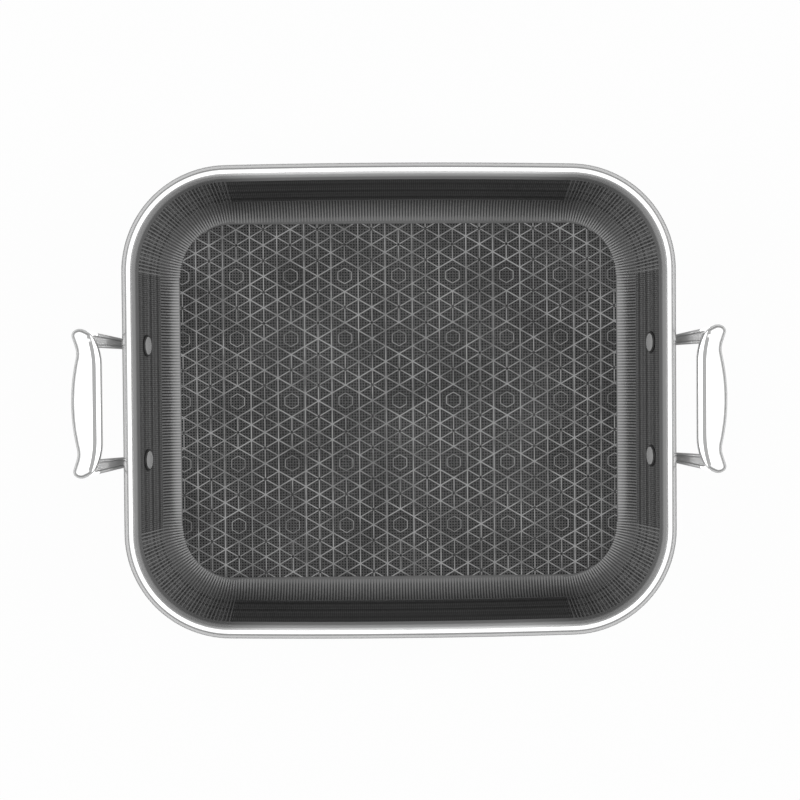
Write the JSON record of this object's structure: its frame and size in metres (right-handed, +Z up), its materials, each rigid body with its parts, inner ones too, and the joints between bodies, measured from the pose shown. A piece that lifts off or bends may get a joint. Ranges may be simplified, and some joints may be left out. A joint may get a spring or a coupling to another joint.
{
  "type": "roasting pan",
  "caption": "Rectangular clad-steel roasting pan with a flared rim, dark etched inside and a riveted loop handle at each short side.",
  "frame": {"origin": "middle of the pan's underside, at the height it rests on", "axes": "+Z up; +X along the length, towards the right handle; +Y across the width, towards the back"},
  "size_m": [0.504, 0.3658, 0.08],
  "materials": {
    "food_side_steel": "etched dark grey inside, polished on the rim",
    "core_aluminium": "bare rolled sheet, sealed between the skins",
    "outer_steel": "polished",
    "handle_steel": "mirror polished casting",
    "rivet_steel": "satin"
  },
  "bodies": {
    "root": {"pan_inner_skin": "food_side_steel", "pan_aluminium_core": "core_aluminium", "pan_outer_skin": "outer_steel", "right_handle": "handle_steel", "left_handle": "handle_steel", "right_back_rivet": "rivet_steel", "right_front_rivet": "rivet_steel", "left_back_rivet": "rivet_steel", "left_front_rivet": "rivet_steel"}
  },
  "joints": []
}
